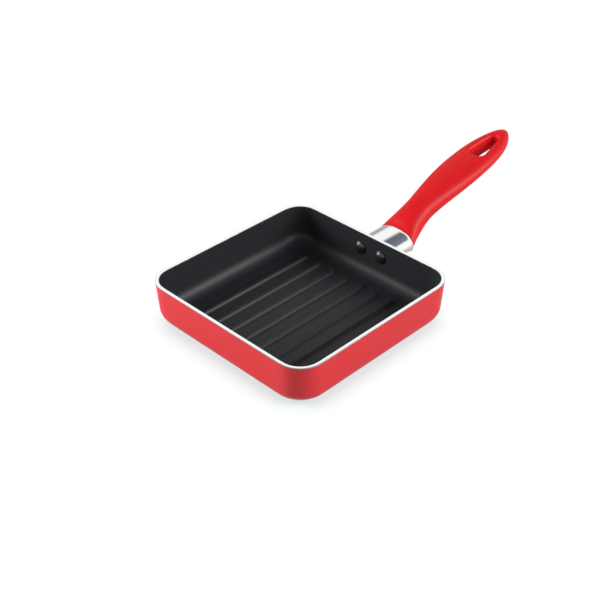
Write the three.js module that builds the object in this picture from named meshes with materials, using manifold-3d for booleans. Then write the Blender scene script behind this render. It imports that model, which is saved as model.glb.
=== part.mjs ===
// Square mini grill pan: pressed aluminium pan, black lining, red enamel, riveted bracket, oval ferrule and
// a curved moulded handle held by one long screw. Millimetres, +Z up. The origin is the middle of the base
// on the surface that the pan stands on, and +X runs out along the handle.

import * as THREE from 'three';
import { mergeVertices } from 'three/addons/utils/BufferGeometryUtils.js';
import Module from 'manifold-3d';

// Pan
const RIM_SIZE = 140;
const PAN_HEIGHT = 32.3;
const RIM_CORNER_RADIUS = 17;
const WALL = 2.4;
const FLOOR = 3;
const WALL_LEAN = 1.4;
const BASE_BEND = 11.4;
const FLOOR_BEND = 9;
const CORNER_SPREAD = 0.2;
const RIM_BAND = 0.3;
const RIM_BEVEL = 0.2;

// Lining and enamel, both drawn thicker than the real layers
const COAT = 0.35;
const BOND_GAP = 0.1;

// Bare turned land under the base
const LAND_STEP = 0.8;
const LAND_MARGIN = 3;
const LAND_BEVEL = 0.3;
const GROOVE_PITCH = 12;
const GROOVE_WIDTH = 4;
const GROOVE_DEPTH = 0.35;

// Grill ribs on the floor, along the handle
const RIB_PITCH = 13;
const RIB_WIDTH = 4.6;
const RIB_SHOULDER_WIDTH = 3.6;
const RIB_CREST_WIDTH = 1.6;
const RIB_SHOULDER_HEIGHT = 1.1;
const RIB_HEIGHT = 1.8;
const RIB_MARGIN = 5;

// Bracket and rivets
const HANDLE_AXIS_HEIGHT = 20;
const FLANGE = 2.2;
const LUG_LIFT = 1;
const LUG_ROOM_ABOVE = 1.9;
const LUG_ROOM_BESIDE = 0.6;
const LUG_POWER = 5;
const RIVET_INSET = 5.3;
const RIVET_LIFT = 0.8;
const RIVET_SHANK = 5;
const RIVET_HEAD = 9.4;
const RIVET_HEAD_HEIGHT = 2.4;
const RIVET_HEAD_EDGE = 0.4;
const RIVET_TAIL = 7.2;
const RIVET_TAIL_HEIGHT = 1.6;

// Ferrule
const FERRULE_WIDTH = 30.4;
const FERRULE_HEIGHT = 17.6;
const FERRULE_LENGTH = 25;
const FERRULE_WALL = 0.9;
const FERRULE_EDGE = 0.4;

// Handle: a curve in the XZ plane from the ferrule to the tip, with oval sections along it
const HANDLE_REACH = 120.5;
const HANDLE_RISE = 37.2;
const ROOT_ANGLE = 36.7;
const ROOT_PULL = 30.5;
const TIP_ANGLE = 11.1;
const TIP_PULL = 70;
const ROOT_STEP = 0.3;
const ROOT_TURN = 14;
const SPIGOT_LENGTH = 6.4;
const NECK_AT = 23.5;
const NECK_WIDTH = 20.5;
const NECK_THICKNESS = 15.2;
const PALM_AT = 70.3;
const PALM_WIDTH = 29.4;
const PALM_THICKNESS = 13;
const TIP_THICKNESS = 10.4;
const TIP_ROUNDING = 8;

// Powers that shape the handle: roundness of its oval sections, how soon the neck swells into the palm,
// how long the palm stays full towards the tip, and how blunt the tip is
const SECTION_POWER = 2.4;
const SWELL_POWER = 0.74;
const FULLNESS_POWER = 2.6;
const BLUNTNESS_POWER = 0.67;

// Hanging slot: blunt towards the pan, narrow at the tip, with walls that lean in downwards and rounded edges
const SLOT_LENGTH = 27;
const SLOT_FRONT_WIDTH = 12.6;
const SLOT_CORNER_RADIUS = 4.5;
const SLOT_TIP_WIDTH = 7.2;
const SLOT_TO_TIP = 11.8;
const SLOT_DRAFT = 1.7;
const SLOT_EDGE = 3;
const SLOT_LOWER_EDGE = 0.9;

// Long screw and its washer
const SCREW_DIAMETER = 4;
const SCREW_GRIP = 10;
const SCREW_POINT = 0.7;
const SCREW_HEAD = 7;
const SCREW_HEAD_HEIGHT = 2.6;
const SCREW_SLOT = 1;
const WASHER_DIAMETER = 7.4;
const WASHER_THICKNESS = 1;

// Clearances, and how far outside the handle the slot's cutter starts to turn in
const FIT_GAP = 0.2;
const HOLE_CLEARANCE = 0.25;
const SLOT_LEAD = 0.3;

// Facets
const CORNER_STEPS = 7;
const BEND_STEPS = 6;
const DOME_STEPS = 4;
const ROUND_STEPS = 20;
const LAND_STEPS = 48;
const OVAL_STEPS = 32;
const HANDLE_STEPS = 34;
const TIP_CROWDING = 1.5;
const TIP_FLAT = 0.5;
const HALVINGS = 40;
const RIB_END_STEPS = 5;
const SLOT_ARC_STEPS = 7;
const SLOT_EDGE_STEPS = 3;

const SKIN = COAT + BOND_GAP;
const FLOOR_LEVEL = LAND_STEP + FLOOR;
const LEAN_SLOPE = WALL_LEAN / (PAN_HEIGHT - LAND_STEP);
const LEAN_COS = Math.cos(Math.atan(LEAN_SLOPE));
const LEAN_SIN = Math.sin(Math.atan(LEAN_SLOPE));
const COAT_TOP = PAN_HEIGHT - RIM_BAND;
const FERRULE_INNER_WIDTH = FERRULE_WIDTH - 2 * FERRULE_WALL;
const FERRULE_INNER_HEIGHT = FERRULE_HEIGHT - 2 * FERRULE_WALL;
const SIDEWAYS = new THREE.Vector3(0, 1, 0);
const UP = new THREE.Vector3(0, 0, 1);

const wasm = await Module();
wasm.setup();

// Solids and meshes

function solidOf(geometry) {
  const plain = geometry.clone();
  plain.deleteAttribute('normal');
  plain.deleteAttribute('uv');
  const merged = mergeVertices(plain, 1e-4);
  const vertProperties = new Float32Array(merged.attributes.position.array);
  const triVerts = new Uint32Array(merged.index.array);
  return new wasm.Manifold(new wasm.Mesh({ numProp: 3, vertProperties, triVerts }));
}

function geometryOf(solid) {
  const mesh = solid.getMesh();
  const geometry = new THREE.BufferGeometry();
  geometry.setAttribute('position', new THREE.BufferAttribute(new Float32Array(mesh.vertProperties), 3));
  geometry.setIndex(new THREE.BufferAttribute(new Uint32Array(mesh.triVerts), 1));
  return geometry;
}

function subtract(body, cutters) {
  return cutters.reduce((rest, cutter) => rest.subtract(solidOf(cutter)), body);
}

function piece(name, geometry, color, roughness, metalness) {
  const flat = geometry.index ? geometry.toNonIndexed() : geometry;
  flat.computeVertexNormals();
  const mesh = new THREE.Mesh(flat, new THREE.MeshStandardMaterial({ color, roughness, metalness }));
  mesh.name = name;
  return mesh;
}

// Skin over a row of rings with equal point counts. Each ring runs anticlockwise about the way of travel.
// A closed loft returns to its first ring, and an open one has flat caps.
function loft(rings, closed = false) {
  const count = rings[0].length;
  const positions = rings.flat().flatMap((point) => [point.x, point.y, point.z]);
  const index = [];
  const strips = closed ? rings.length : rings.length - 1;
  for (let strip = 0; strip < strips; strip += 1) {
    const near = strip * count;
    const far = ((strip + 1) % rings.length) * count;
    for (let step = 0; step < count; step += 1) {
      const next = (step + 1) % count;
      index.push(near + step, near + next, far + next, near + step, far + next, far + step);
    }
  }
  if (!closed) {
    const last = (rings.length - 1) * count;
    for (let step = 1; step < count - 1; step += 1) {
      index.push(0, step + 1, step, last, last + step, last + step + 1);
    }
  }
  const geometry = new THREE.BufferGeometry();
  geometry.setAttribute('position', new THREE.Float32BufferAttribute(positions, 3));
  geometry.setIndex(index);
  return geometry;
}

// Solid of revolution about its own Y, from profile points [radius, height] listed from low to high
function revolve(profile, steps) {
  return new THREE.LatheGeometry(profile.map(([radius, height]) => new THREE.Vector2(radius, height)), steps);
}

// Place a mesh that was made along +Y, turned to a direction
function aim(mesh, point, direction) {
  mesh.position.copy(point);
  mesh.quaternion.setFromUnitVectors(SIDEWAYS, direction);
  return mesh;
}

// Straight round cutter between two points
function roundCutter(from, to, radius, steps = ROUND_STEPS) {
  const direction = to.clone().sub(from);
  const middle = from.clone().add(to).multiplyScalar(0.5);
  const cylinder = new THREE.CylinderGeometry(radius, radius, direction.length(), steps);
  cylinder.applyQuaternion(new THREE.Quaternion().setFromUnitVectors(SIDEWAYS, direction.normalize()));
  return cylinder.translate(middle.x, middle.y, middle.z);
}

// Oval ring across the XZ plane: half width along Y, half height along up
function ovalRing(centre, up, halfWidth, halfHeight, power) {
  const points = [];
  for (let step = 0; step < OVAL_STEPS; step += 1) {
    const angle = (2 * Math.PI * step) / OVAL_STEPS;
    const across = Math.sign(Math.cos(angle)) * Math.abs(Math.cos(angle)) ** (2 / power);
    const along = Math.sign(Math.sin(angle)) * Math.abs(Math.sin(angle)) ** (2 / power);
    const point = centre.clone().addScaledVector(SIDEWAYS, halfWidth * across);
    points.push(point.addScaledVector(up, halfHeight * along));
  }
  return points;
}

// Pan form: rounded square rings up a leaning wall with a bent foot. Depth is measured inwards from the
// finished outside face, so each layer of the wall is the same form at another depth.

function insetAt(z, depth) {
  return LEAN_SLOPE * (PAN_HEIGHT - z) + depth / LEAN_COS;
}

function squareRing(inset, z, depth) {
  const radius = RIM_CORNER_RADIUS - depth + CORNER_SPREAD * (inset - depth);
  const middle = RIM_SIZE / 2 - inset - radius;
  const points = [];
  for (let corner = 0; corner < 4; corner += 1) {
    const signX = corner === 0 || corner === 3 ? 1 : -1;
    const signY = corner < 2 ? 1 : -1;
    for (let step = 0; step <= CORNER_STEPS; step += 1) {
      const angle = ((corner + step / CORNER_STEPS) * Math.PI) / 2;
      const x = signX * middle + radius * Math.cos(angle);
      const y = signY * middle + radius * Math.sin(angle);
      points.push(new THREE.Vector3(x, y, z));
    }
  }
  return points;
}

function bendCentre(level, bend, depth) {
  return insetAt(level + bend, depth) + bend / LEAN_COS;
}

function wallRings(depth, level, bend, top) {
  const inset = bendCentre(level, bend, depth);
  const rings = [];
  for (let step = 0; step <= BEND_STEPS; step += 1) {
    const turn = THREE.MathUtils.lerp(1.5 * Math.PI, Math.PI + Math.atan(LEAN_SLOPE), step / BEND_STEPS);
    rings.push(squareRing(inset + bend * Math.cos(turn), level + bend + bend * Math.sin(turn), depth));
  }
  rings.push(squareRing(insetAt(top, depth), top, depth));
  return rings;
}

const floorHalf = RIM_SIZE / 2 - bendCentre(FLOOR_LEVEL, FLOOR_BEND, WALL);
const baseHalf = RIM_SIZE / 2 - bendCentre(LAND_STEP, BASE_BEND, 0);
const landRadius = baseHalf - LAND_MARGIN;

// Ribs: long low bars with round ends, shrunk for the layers below the lining's face

const ribHalfLength = floorHalf - RIB_MARGIN - RIB_WIDTH / 2;

function ribRing(width, shrink, y, height) {
  const radius = width / 2 - shrink;
  const points = [];
  for (let step = 0; step <= 2 * RIB_END_STEPS + 1; step += 1) {
    const side = step <= RIB_END_STEPS ? 1 : -1;
    const turn = (Math.PI * (step % (RIB_END_STEPS + 1))) / RIB_END_STEPS - Math.PI / 2;
    const x = side * (ribHalfLength + radius * Math.cos(turn));
    points.push(new THREE.Vector3(x, y + side * radius * Math.sin(turn), FLOOR_LEVEL + height - shrink));
  }
  return points;
}

function ribs(shrink) {
  const pairs = Math.floor(ribHalfLength / RIB_PITCH + 0.5);
  const bars = [];
  for (let place = 0.5 - pairs; place < pairs; place += 1) {
    const y = place * RIB_PITCH;
    bars.push(loft([
      ribRing(RIB_WIDTH, shrink, y, -FLOOR / 2),
      ribRing(RIB_WIDTH, shrink, y, 0),
      ribRing(RIB_SHOULDER_WIDTH, shrink, y, RIB_SHOULDER_HEIGHT),
      ribRing(RIB_CREST_WIDTH, shrink / 2, y, RIB_HEIGHT - shrink / 2),
    ]));
  }
  return bars;
}

// Wall seat: where bracket and rivets meet the leaning handle wall, counted along its outward normal
const wallOut = new THREE.Vector3(LEAN_COS, 0, -LEAN_SIN);
const wallUp = new THREE.Vector3(LEAN_SIN, 0, LEAN_COS);

function wallPoint(y, z, out) {
  const face = new THREE.Vector3(RIM_SIZE / 2 - insetAt(z, 0), y, z);
  return face.addScaledVector(wallOut, out);
}

const rivetHeight = HANDLE_AXIS_HEIGHT + RIVET_LIFT;
const rivetSide = FERRULE_INNER_WIDTH / 2 - RIVET_INSET;
const rivetPlaces = { rivet_left: rivetSide, rivet_right: -rivetSide };
const tailSeat = FLANGE + 2 * FIT_GAP;
const headSeat = WALL + FIT_GAP;

function rivetHoles() {
  return Object.values(rivetPlaces).map((y) => roundCutter(
    wallPoint(y, rivetHeight, -headSeat - WALL),
    wallPoint(y, rivetHeight, tailSeat + FLANGE),
    RIVET_SHANK / 2 + HOLE_CLEARANCE,
  ));
}

// Aluminium pan: bare at the rim band and at the turned land, set back under the coats elsewhere

function landProfile() {
  const profile = [[0, 0]];
  const half = GROOVE_WIDTH / 2;
  for (let middle = GROOVE_PITCH; middle + half + LAND_BEVEL < landRadius; middle += GROOVE_PITCH) {
    profile.push([middle - half, 0], [middle, GROOVE_DEPTH], [middle + half, 0]);
  }
  profile.push([landRadius - LAND_BEVEL, 0], [landRadius, LAND_BEVEL], [landRadius, LAND_STEP + FLOOR / 2]);
  profile.push([0, LAND_STEP + FLOOR / 2]);
  return profile;
}

function panBody() {
  const outside = [
    ...wallRings(SKIN, LAND_STEP + SKIN, BASE_BEND - SKIN, COAT_TOP),
    squareRing(insetAt(COAT_TOP, 0), COAT_TOP, 0),
    squareRing(insetAt(PAN_HEIGHT - RIM_BEVEL, 0), PAN_HEIGHT - RIM_BEVEL, 0),
    squareRing(RIM_BEVEL, PAN_HEIGHT, 0),
  ];
  const inside = [
    ...wallRings(WALL - SKIN, FLOOR_LEVEL - SKIN, FLOOR_BEND + SKIN, COAT_TOP),
    squareRing(insetAt(COAT_TOP, WALL), COAT_TOP, WALL),
    squareRing(insetAt(PAN_HEIGHT - RIM_BEVEL, WALL), PAN_HEIGHT - RIM_BEVEL, WALL),
    squareRing(insetAt(PAN_HEIGHT, WALL) - RIM_BEVEL, PAN_HEIGHT, WALL),
    squareRing(insetAt(PAN_HEIGHT, WALL) - RIM_BEVEL, PAN_HEIGHT + WALL, WALL),
  ];
  const land = revolve(landProfile(), LAND_STEPS).rotateX(Math.PI / 2);
  const cavity = subtract(solidOf(loft(inside)), ribs(SKIN));
  const pan = solidOf(loft(outside)).add(solidOf(land)).subtract(cavity);
  return geometryOf(subtract(pan, rivetHoles()));
}

function nonstickLining() {
  const top = COAT_TOP - BOND_GAP;
  const back = loft(wallRings(WALL - COAT, FLOOR_LEVEL - COAT, FLOOR_BEND + COAT, top));
  const face = loft(wallRings(WALL, FLOOR_LEVEL, FLOOR_BEND, PAN_HEIGHT));
  const backed = subtract(solidOf(back), ribs(COAT));
  const lining = backed.subtract(subtract(solidOf(face), ribs(0)));
  return geometryOf(subtract(lining, rivetHoles()));
}

function outerEnamel() {
  const top = COAT_TOP - BOND_GAP;
  const face = loft(wallRings(0, LAND_STEP, BASE_BEND, top));
  const back = loft(wallRings(COAT, LAND_STEP + COAT, BASE_BEND - COAT, PAN_HEIGHT));
  const landTop = new THREE.Vector3(0, 0, LAND_STEP + FLOOR);
  const landCut = roundCutter(new THREE.Vector3(), landTop, landRadius + BOND_GAP, LAND_STEPS);
  return geometryOf(subtract(solidOf(face), [back, landCut, ...rivetHoles()]));
}

// Rivet: domed head inside the pan, shank through wall and flange, pressed tail outside. Its own Y runs out
// along the wall's normal from the wall's outside face.
function rivet() {
  const head = RIVET_HEAD / 2;
  const dome = RIVET_HEAD_HEIGHT - RIVET_HEAD_EDGE;
  const ball = (head * head + dome * dome) / (2 * dome);
  const sweep = Math.asin(head / ball);
  const profile = [];
  for (let step = 0; step <= DOME_STEPS; step += 1) {
    const turn = (sweep * step) / DOME_STEPS;
    profile.push([ball * Math.sin(turn), ball * (1 - Math.cos(turn)) - headSeat - RIVET_HEAD_HEIGHT]);
  }
  const shank = RIVET_SHANK / 2;
  const tail = RIVET_TAIL / 2;
  const tailTop = tailSeat + RIVET_TAIL_HEIGHT;
  profile.push([head, -headSeat], [shank, -headSeat], [shank, tailSeat], [tail, tailSeat]);
  profile.push([tail, tailSeat + RIVET_TAIL_HEIGHT / 2], [shank, tailTop], [0, tailTop]);
  return revolve(profile, ROUND_STEPS);
}

// Ferrule: oval sleeve from the wall to the handle, its first edge cut to the wall's lean

const ferruleEnd = RIM_SIZE / 2 - insetAt(HANDLE_AXIS_HEIGHT, 0) + FERRULE_LENGTH;
const handleAxis = (x) => new THREE.Vector3(x, 0, HANDLE_AXIS_HEIGHT);

function ferruleRing(x, thinner) {
  return ovalRing(handleAxis(x), UP, FERRULE_WIDTH / 2 - thinner, FERRULE_HEIGHT / 2 - thinner, 2);
}

function againstWall(points) {
  const gap = FIT_GAP / LEAN_COS;
  return points.map((point) => new THREE.Vector3(RIM_SIZE / 2 - insetAt(point.z, 0) + gap, point.y, point.z));
}

function ferrule() {
  return loft([
    againstWall(ferruleRing(0, 0)),
    ferruleRing(ferruleEnd - FERRULE_EDGE, 0),
    ferruleRing(ferruleEnd, FERRULE_EDGE),
    ferruleRing(ferruleEnd, FERRULE_WALL),
    againstWall(ferruleRing(0, FERRULE_WALL)),
  ], true);
}

// Handle curve, its sections and its slot

const rootX = ferruleEnd + FIT_GAP;
const rootTurn = THREE.MathUtils.degToRad(ROOT_ANGLE);
const tipTurn = THREE.MathUtils.degToRad(TIP_ANGLE);
const rootPoint = new THREE.Vector2(rootX, HANDLE_AXIS_HEIGHT);
const tipPoint = rootPoint.clone().add(new THREE.Vector2(HANDLE_REACH, HANDLE_RISE));
const handleCurve = new THREE.CubicBezierCurve(
  rootPoint,
  rootPoint.clone().add(new THREE.Vector2(Math.cos(rootTurn), Math.sin(rootTurn)).multiplyScalar(ROOT_PULL)),
  tipPoint.clone().sub(new THREE.Vector2(Math.cos(tipTurn), Math.sin(tipTurn)).multiplyScalar(TIP_PULL)),
  tipPoint,
);

function ease(share) {
  return share * share * (3 - 2 * share);
}

// Half width: flared root, waisted neck, full palm, and a tip drawn to a blunt point
function handleHalfWidth(along) {
  const root = FERRULE_WIDTH / 2 - ROOT_STEP;
  const neck = NECK_WIDTH / 2;
  const palm = PALM_WIDTH / 2;
  if (along < NECK_AT) {
    return neck + (root - neck) * (1 - along / NECK_AT) ** 2;
  }
  if (along < PALM_AT) {
    return neck + (palm - neck) * ease(((along - NECK_AT) / (PALM_AT - NECK_AT)) ** SWELL_POWER);
  }
  const towardsTip = (along - PALM_AT) / (HANDLE_REACH - PALM_AT);
  return palm * (1 - towardsTip ** FULLNESS_POWER) ** BLUNTNESS_POWER;
}

// Half thickness: straight tapers between root, neck, palm and tip, with a rounded end
function handleHalfThickness(along) {
  const root = FERRULE_HEIGHT - 2 * ROOT_STEP;
  const stations = [
    [0, root],
    [NECK_AT, NECK_THICKNESS],
    [PALM_AT, PALM_THICKNESS],
    [HANDLE_REACH, TIP_THICKNESS],
  ];
  const next = Math.max(1, stations.findIndex(([at]) => at >= along));
  const [from, thick] = stations[next - 1];
  const [to, thin] = stations[next];
  const taper = THREE.MathUtils.mapLinear(along, from, to, thick, thin);
  const end = Math.max(0, (along - HANDLE_REACH + TIP_ROUNDING) / TIP_ROUNDING);
  return (taper / 2) * Math.sqrt(1 - end * end);
}

function handleFrame(share) {
  const point = handleCurve.getPoint(share);
  const tangent = handleCurve.getTangent(share);
  const along = point.x - rootX;
  const tilt = Math.atan2(tangent.y, tangent.x) * ease(Math.min(1, along / ROOT_TURN));
  return {
    along,
    centre: new THREE.Vector3(point.x, 0, point.y),
    forward: new THREE.Vector3(Math.cos(tilt), 0, Math.sin(tilt)),
    up: new THREE.Vector3(-Math.sin(tilt), 0, Math.cos(tilt)),
  };
}

// Sections close up towards the tip, and the last one is a small flat just short of it
function handleForm() {
  const rings = [];
  for (let step = 0; step <= HANDLE_STEPS; step += 1) {
    const left = 1 - step / (HANDLE_STEPS + TIP_FLAT);
    const { along, centre, up } = handleFrame(1 - left ** TIP_CROWDING);
    rings.push(ovalRing(centre, up, handleHalfWidth(along), handleHalfThickness(along), SECTION_POWER));
  }
  return loft(rings);
}

// Share of the curve at which a rising measure comes to a value, found by halving
function shareWhere(measure, value) {
  let low = 0;
  let high = 1;
  for (let turn = 0; turn < HALVINGS; turn += 1) {
    const middle = (low + high) / 2;
    if (measure(middle) < value) {
      low = middle;
    } else {
      high = middle;
    }
  }
  return low;
}

const slotAlong = HANDLE_REACH - SLOT_TO_TIP - SLOT_LENGTH / 2;
const slotFrame = handleFrame(shareWhere((share) => handleFrame(share).along, slotAlong));

// Handle's skin above (side 1) or below (side -1) a point of the curve, counted from the slot's middle
function skinPoint(share, y, side) {
  const { along, centre, up } = handleFrame(share);
  const inside = Math.max(0, 1 - (Math.abs(y) / handleHalfWidth(along)) ** SECTION_POWER);
  const lift = side * handleHalfThickness(along) * inside ** (1 / SECTION_POWER);
  return centre.clone().addScaledVector(up, lift).sub(slotFrame.centre);
}

function skinHeight(forward, y, side) {
  const share = shareWhere((trial) => skinPoint(trial, y, side).dot(slotFrame.forward), forward);
  return skinPoint(share, y, side).dot(slotFrame.up);
}

// Slot outline, grown outwards and sunk below the skin on one side of the handle: an arc at the tip and one
// at each front corner, joined by straight lines that touch them
function slotRing(side, grow, sink) {
  const tipRadius = SLOT_TIP_WIDTH / 2;
  const tipAt = SLOT_LENGTH / 2 - tipRadius;
  const cornerAt = SLOT_CORNER_RADIUS - SLOT_LENGTH / 2;
  const cornerSide = SLOT_FRONT_WIDTH / 2 - SLOT_CORNER_RADIUS;
  const run = Math.hypot(tipAt - cornerAt, cornerSide);
  const lean = Math.acos((SLOT_CORNER_RADIUS - tipRadius) / run) - Math.asin(cornerSide / run);
  const points = [];
  const arc = (middle, aside, radius, from, to) => {
    for (let step = 0; step <= SLOT_ARC_STEPS; step += 1) {
      const turn = THREE.MathUtils.lerp(from, to, step / SLOT_ARC_STEPS);
      const forward = middle + (radius + grow) * Math.cos(turn);
      const y = aside + (radius + grow) * Math.sin(turn);
      const point = slotFrame.centre.clone().addScaledVector(slotFrame.forward, forward);
      point.addScaledVector(slotFrame.up, skinHeight(forward, y, side) - side * sink);
      points.push(point.addScaledVector(SIDEWAYS, y));
    }
  };
  arc(tipAt, 0, tipRadius, -lean, lean);
  arc(cornerAt, cornerSide, SLOT_CORNER_RADIUS, lean, Math.PI);
  arc(cornerAt, -cornerSide, SLOT_CORNER_RADIUS, Math.PI, 2 * Math.PI - lean);
  return points;
}

// Rings from clear of the skin, round the slot's edge and into its wall
function slotEdgeRings(side, edge, grow) {
  const clear = -2 * SLOT_EDGE;
  const rings = [slotRing(side, grow + edge, clear), slotRing(side, grow + edge, -SLOT_LEAD)];
  for (let step = 1; step <= SLOT_EDGE_STEPS; step += 1) {
    const turn = (Math.PI * step) / (2 * SLOT_EDGE_STEPS);
    rings.push(slotRing(side, grow + edge * (1 - Math.sin(turn)), edge * (1 - Math.cos(turn))));
  }
  return rings;
}

function slotCutter() {
  const lower = slotEdgeRings(-1, SLOT_LOWER_EDGE, -SLOT_DRAFT);
  const upper = slotEdgeRings(1, SLOT_EDGE, 0);
  return loft([...lower, ...upper.reverse()]);
}

// Screw line: from the lug's end to the middle of the slot's front wall

const lugEnd = rootX - SPIGOT_LENGTH - FIT_GAP;
const lugPoint = new THREE.Vector3(lugEnd, 0, HANDLE_AXIS_HEIGHT + LUG_LIFT);
const slotWallAt = (SLOT_DRAFT - SLOT_LENGTH) / 2;
const slotWall = slotFrame.centre.clone().addScaledVector(slotFrame.forward, slotWallAt);
const screwWay = slotWall.clone().sub(lugPoint).normalize();
const headSink = SCREW_HEAD_HEIGHT + WASHER_THICKNESS + 2 * FIT_GAP;
const screwSeat = slotWall.clone().addScaledVector(screwWay, -headSink);
const screwBottom = lugPoint.clone().addScaledVector(screwWay, -SCREW_GRIP);

function onScrew(distance) {
  return screwSeat.clone().addScaledVector(screwWay, distance);
}

function screwBore() {
  const start = screwBottom.clone().addScaledVector(screwWay, -FIT_GAP);
  return roundCutter(start, onScrew(headSink), SCREW_DIAMETER / 2 + HOLE_CLEARANCE);
}

function handle() {
  const spigotRing = (x) => ferruleRing(x, FERRULE_WALL + FIT_GAP);
  const spigot = loft([spigotRing(rootX - SPIGOT_LENGTH), spigotRing(rootX + FIT_GAP)]);
  const recess = Math.max(WASHER_DIAMETER, SCREW_HEAD) / 2 + 2 * HOLE_CLEARANCE;
  const headRecess = roundCutter(onScrew(0), onScrew(headSink + SLOT_FRONT_WIDTH / 2), recess);
  const body = solidOf(handleForm()).add(solidOf(spigot));
  return geometryOf(subtract(body, [slotCutter(), screwBore(), headRecess]));
}

// Bracket: oval flange on the wall with a lug that takes the screw
function handleBracket() {
  const halfWidth = FERRULE_INNER_WIDTH / 2 - 2 * FIT_GAP;
  const halfHeight = FERRULE_INNER_HEIGHT / 2 - 2 * FIT_GAP;
  const seat = (out) => wallPoint(0, HANDLE_AXIS_HEIGHT, FIT_GAP + out);
  const flange = loft([
    ovalRing(seat(0), wallUp, halfWidth, halfHeight, 2),
    ovalRing(seat(FLANGE), wallUp, halfWidth, halfHeight, 2),
  ]);
  const lugHalfWidth = rivetSide - RIVET_TAIL / 2 - LUG_ROOM_BESIDE;
  const lugHalfHeight = FERRULE_INNER_HEIGHT / 2 - LUG_LIFT - LUG_ROOM_ABOVE;
  const lug = loft([
    ovalRing(seat(FLANGE / 2), wallUp, lugHalfWidth, lugHalfHeight, LUG_POWER),
    ovalRing(lugPoint, UP, lugHalfWidth, lugHalfHeight, LUG_POWER),
  ]);
  const body = solidOf(flange).add(solidOf(lug));
  return geometryOf(subtract(body, [...rivetHoles(), screwBore()]));
}

function handleScrew() {
  const shank = SCREW_DIAMETER / 2;
  const head = SCREW_HEAD / 2;
  const length = screwSeat.distanceTo(screwBottom) + WASHER_THICKNESS + 2 * FIT_GAP;
  const top = length + SCREW_HEAD_HEIGHT;
  const profile = [[0, 0], [shank - SCREW_POINT, 0], [shank, SCREW_POINT], [shank, length], [head, length]];
  profile.push([head, length + SCREW_HEAD_HEIGHT / 2], [shank, top], [0, top]);
  const turned = solidOf(revolve(profile, ROUND_STEPS));
  const driverSlot = new THREE.BoxGeometry(2 * SCREW_HEAD, SCREW_HEAD_HEIGHT, SCREW_SLOT);
  driverSlot.translate(0, top, 0);
  return geometryOf(subtract(turned, [driverSlot]));
}

function screwWasher() {
  const hole = SCREW_DIAMETER / 2 + HOLE_CLEARANCE;
  const rim = WASHER_DIAMETER / 2;
  const top = FIT_GAP + WASHER_THICKNESS;
  const profile = [[hole, FIT_GAP], [rim, FIT_GAP], [rim, top], [hole, top], [hole, FIT_GAP]];
  return revolve(profile, ROUND_STEPS);
}

const pan = new THREE.Group();
pan.name = 'grill_pan';
pan.add(piece('pan_body', panBody(), 0xd8dadb, 0.35, 1));
pan.add(piece('nonstick_lining', nonstickLining(), 0x25262a, 0.55, 0));
pan.add(piece('outer_enamel', outerEnamel(), 0xcf2c2f, 0.4, 0));
pan.add(piece('handle_bracket', handleBracket(), 0xb4b6b8, 0.5, 1));
for (const [name, y] of Object.entries(rivetPlaces)) {
  pan.add(aim(piece(name, rivet(), 0x1d1e20, 0.4, 0), wallPoint(y, rivetHeight, 0), wallOut));
}
pan.add(piece('ferrule', ferrule(), 0xc9ccd0, 0.15, 1));
pan.add(piece('handle', handle(), 0xd0191d, 0.45, 0));
pan.add(aim(piece('handle_screw', handleScrew(), 0xa9acb0, 0.35, 1), screwBottom, screwWay));
pan.add(aim(piece('screw_washer', screwWasher(), 0x9c9fa3, 0.4, 1), screwSeat, screwWay));

export default pan;
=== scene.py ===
import bpy
import numpy as np
from mathutils import Matrix, Vector


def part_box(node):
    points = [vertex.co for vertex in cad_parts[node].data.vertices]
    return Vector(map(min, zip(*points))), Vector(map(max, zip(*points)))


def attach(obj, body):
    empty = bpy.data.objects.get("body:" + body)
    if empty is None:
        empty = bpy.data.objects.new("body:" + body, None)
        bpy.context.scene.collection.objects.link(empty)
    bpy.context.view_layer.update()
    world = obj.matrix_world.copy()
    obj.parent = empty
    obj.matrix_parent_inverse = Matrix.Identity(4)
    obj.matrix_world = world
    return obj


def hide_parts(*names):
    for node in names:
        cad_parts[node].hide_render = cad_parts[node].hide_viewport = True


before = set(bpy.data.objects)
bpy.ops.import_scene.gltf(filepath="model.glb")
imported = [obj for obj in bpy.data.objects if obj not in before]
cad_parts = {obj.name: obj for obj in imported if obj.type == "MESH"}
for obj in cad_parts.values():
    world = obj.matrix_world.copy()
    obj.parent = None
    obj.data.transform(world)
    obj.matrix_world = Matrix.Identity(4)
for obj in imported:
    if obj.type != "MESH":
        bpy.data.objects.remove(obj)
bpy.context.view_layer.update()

# Pan: a square pan pressed from aluminium sheet, with a leaning wall and low grill ribs along its floor.
# It is left bare at the rim and at the round land turned under its base, and is coated everywhere else.

MM = 0.001
pan_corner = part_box("pan_body")[1]
RIM_HALF = pan_corner.x
PAN_HEIGHT = pan_corner.z
CORNER_RADIUS = 17 * MM
CORNER_SPREAD = 0.2
WALL = 2.4 * MM
FLOOR = 3 * MM
WALL_LEAN = 1.4 * MM
BASE_BEND = 11.4 * MM
FLOOR_BEND = 9 * MM
BEND_STEPS = 14
WALL_STEPS = 6
EDGE_ROW = 0.05 * MM
RIM_BAND = 0.3 * MM
RIM_BEVEL = 0.2 * MM
BEVEL_STEPS = 4
COAT = 0.35 * MM
BOND_GAP = 0.1 * MM
SKIN = COAT + BOND_GAP
COAT_TOP = PAN_HEIGHT - RIM_BAND

LAND_STEP = 0.8 * MM
LAND_MARGIN = 3 * MM
LAND_BEVEL = 0.3 * MM
GROOVE_PITCH = 12 * MM
GROOVE_WIDTH = 4 * MM
GROOVE_DEPTH = 0.35 * MM
GROOVE_STEPS = 8

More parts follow.
